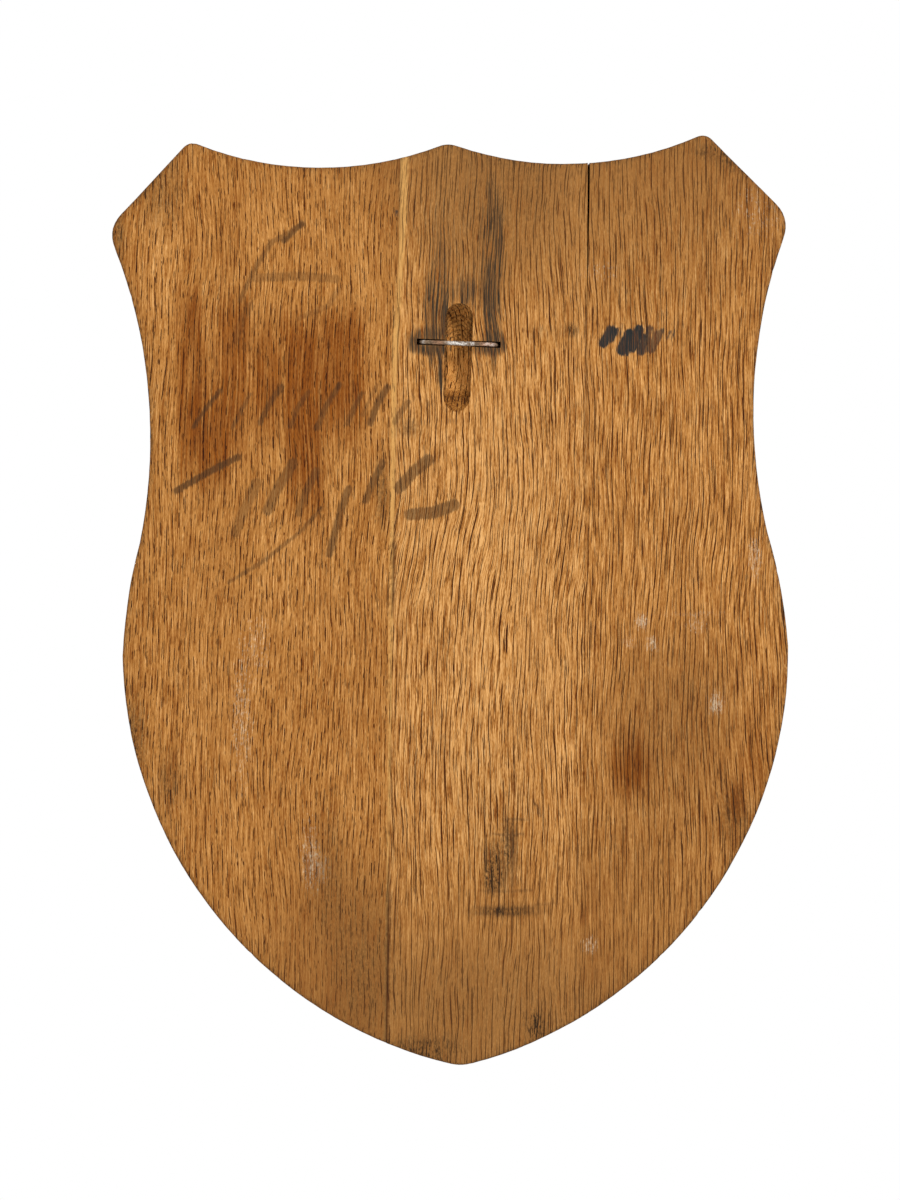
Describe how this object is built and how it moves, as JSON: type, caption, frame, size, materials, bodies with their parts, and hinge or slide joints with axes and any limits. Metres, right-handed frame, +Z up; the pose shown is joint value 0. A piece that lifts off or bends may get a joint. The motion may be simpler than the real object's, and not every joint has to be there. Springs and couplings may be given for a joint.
{
  "type": "carved heraldic plaque",
  "caption": "Shield-shaped oak wall plaque of edge-glued boards, carved on the front, with a chopped slot and an iron staple in the back for hanging it on a hook.",
  "frame": {"origin": "middle of the hanging staple's crown, in the plane of the back, where the hook carries the plaque", "axes": "+Z up along the shield, +Y out of the flat back towards the wall, carved front facing -Y"},
  "size_m": [0.2905, 0.02, 0.3992],
  "materials": {
    "oak": "raw, aged and stained on the back, dark stained and waxed on the front and edges",
    "rusted_iron": "brown rust with bright worn patches"
  },
  "bodies": {
    "root": {"left_board": "oak", "middle_board": "oak", "right_board": "oak", "hanging_staple": "rusted_iron"}
  },
  "joints": []
}
